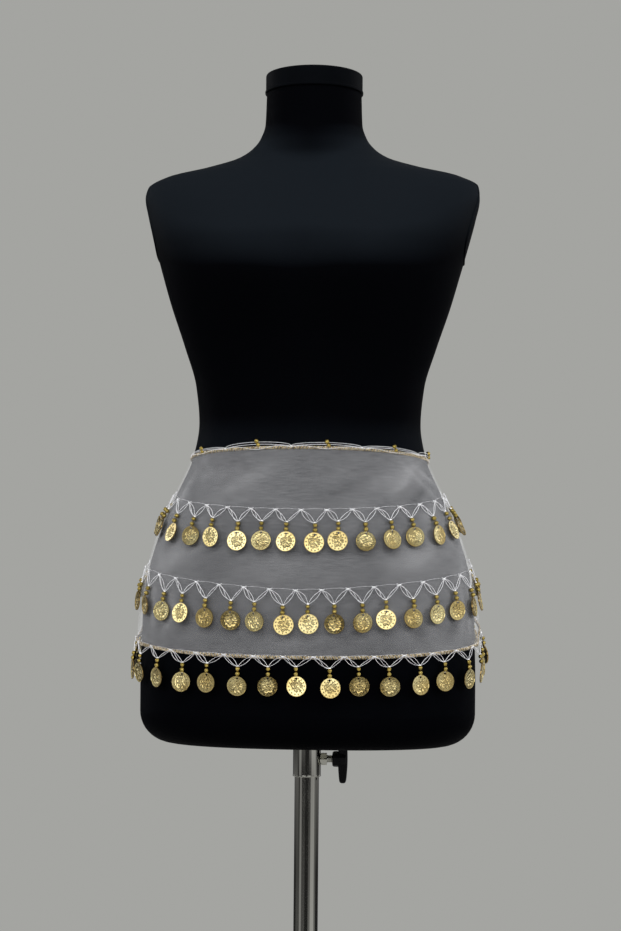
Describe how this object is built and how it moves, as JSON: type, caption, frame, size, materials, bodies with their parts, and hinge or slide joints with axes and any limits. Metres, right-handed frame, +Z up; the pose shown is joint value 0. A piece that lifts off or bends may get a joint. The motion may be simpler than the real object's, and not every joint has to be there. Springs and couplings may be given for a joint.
{
  "type": "belly dance belt on dress form stand",
  "caption": "Sheer hip scarf with rows of hanging coins, tied at the back round a limbless dress form that slides and clamps on a round-based stand.",
  "frame": {"origin": "centre of the base plate's underside, on the floor and on the pole's axis", "axes": "+Z up along the pole, the form and the belt face -Y, +X towards the clamp's knob"},
  "size_m": [0.3689, 0.32, 1.4748],
  "materials": {
    "base_paint": "satin",
    "chrome": "polished",
    "black_jersey": "matte",
    "cap_plastic": "satin",
    "knob_plastic": "satin",
    "chiffon": "matte",
    "lurex_edge": "satin",
    "bead_thread": "satin",
    "gold_coins": "polished"
  },
  "bodies": {
    "stand": {"base_plate": "base_paint", "base_collar": "chrome", "pole": "chrome"},
    "form": {"torso": "black_jersey", "neck_cap": "cap_plastic", "socket_sleeve": "chrome", "clamp_boss": "chrome", "belt_cloth": "chiffon", "waist_edge_cord": "lurex_edge", "hem_edge_cord": "lurex_edge", "waist_bead_chain": "bead_thread", "coin_row_upper": "gold_coins", "coin_row_middle": "gold_coins", "coin_row_hem": "gold_coins", "back_knot": "chiffon", "tail_left": "chiffon", "tail_right": "chiffon"},
    "knob": {"clamp_screw": "chrome", "wing_knob": "knob_plastic"}
  },
  "joints": [
    {"name": "form_height", "type": "slide", "parent": "stand", "child": "form", "axis": [0, 0, 1], "range_m": [-0.17, 0.2]},
    {"name": "knob_turn", "type": "hinge", "parent": "form", "child": "knob", "pos_m": [0.03, 0, 0.763], "axis": [1, 0, 0], "range_deg": [0, 450]}
  ]
}
